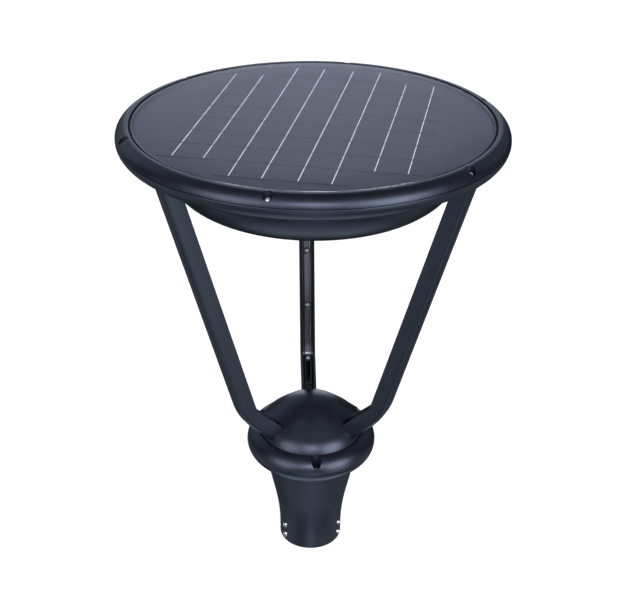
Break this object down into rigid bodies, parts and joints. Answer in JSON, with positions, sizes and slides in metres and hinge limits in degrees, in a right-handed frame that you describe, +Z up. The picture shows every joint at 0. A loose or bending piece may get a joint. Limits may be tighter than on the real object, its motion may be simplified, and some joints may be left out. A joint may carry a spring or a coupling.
{
  "type": "solar street lamp",
  "caption": "Post-top solar street lamp: a round solar panel and light head on three channel arms that rise from a domed hub and flared pole socket.",
  "frame": {"origin": "centre of the pole socket's mouth, where the lamp slips over the pole top", "axes": "+Z up along the socket's axis towards the solar panel; +Y towards the rear arm; the other two arms are at 210 and 330 degrees; -Y is the front seen in the picture"},
  "size_m": [0.4998, 0.4998, 0.6685],
  "materials": {
    "cover_glass": "clear low-iron glass over black cells, slightly satin",
    "mono_cells": "black monocrystalline silicon",
    "silver_ribbon": "bright tinned ribbon",
    "black_sheet": "black backsheet",
    "black_rubber": "matt EPDM",
    "anthracite_cast": "die-cast aluminium with fine satin anthracite powder coat",
    "gloss_cover": "glossy black moulded cover strip",
    "stainless": "bright stainless",
    "black_screw": "black-oxide steel",
    "lens": "frosted polycarbonate",
    "raw_aluminium": "mill-finish aluminium",
    "white_board": "white solder-mask metal-core board",
    "led_phosphor": "yellow phosphor",
    "cell_wrap": "shrink-wrapped battery cell, aluminium density stands for the real cell's",
    "black_plastic": "fine-textured black plastic",
    "green_board": "green circuit board",
    "lead_black": "PVC insulation",
    "lead_red": "PVC insulation",
    "lead_white": "PVC insulation",
    "switch_metal": "anodised aluminium"
  },
  "bodies": {
    "lamp": {"solar_glass": "cover_glass", "solar_cells": "mono_cells", "cell_ribbons": "silver_ribbon", "cell_backsheet": "black_sheet", "panel_gasket": "black_rubber", "bezel_ring": "anthracite_cast", "bezel_screws": "stainless", "rim_seal": "black_rubber", "lamp_housing": "anthracite_cast", "arm_rear": "anthracite_cast", "arm_left": "anthracite_cast", "arm_right": "anthracite_cast", "arm_cover_rear": "gloss_cover", "arm_cover_left": "gloss_cover", "arm_cover_right": "gloss_cover", "arm_cover_screws": "stainless", "arm_head_bolts": "stainless", "arm_foot_bolts": "stainless", "hub_dome": "anthracite_cast", "dome_screws": "stainless", "hub_collar": "anthracite_cast", "collar_screws": "black_screw", "hub_base": "anthracite_cast", "neck_bolts": "stainless", "pole_socket": "anthracite_cast", "set_screws": "stainless", "lens_window": "lens", "lens_gasket": "black_rubber", "lens_ring": "anthracite_cast", "lens_ring_screws": "stainless", "chassis_plate": "raw_aluminium", "chassis_screws": "stainless", "led_board": "white_board", "led_chips": "led_phosphor", "battery_cells": "cell_wrap", "battery_tray": "black_plastic", "battery_straps": "raw_aluminium", "controller_case": "black_plastic", "controller_board": "green_board", "junction_box": "black_plastic", "panel_lead": "lead_black", "battery_lead": "lead_red", "led_lead": "lead_white", "vent_body": "black_plastic", "vent_nut": "black_plastic", "button_body": "switch_metal", "button_nut": "stainless"},
    "button": {"button_cap": "black_rubber"}
  },
  "joints": [
    {"name": "button_press", "type": "slide", "parent": "lamp", "child": "button", "axis": [0, 0, 1], "range_m": [0, 0.0022], "stiffness_N_per_m": 900, "springref_m": -0.0008}
  ]
}
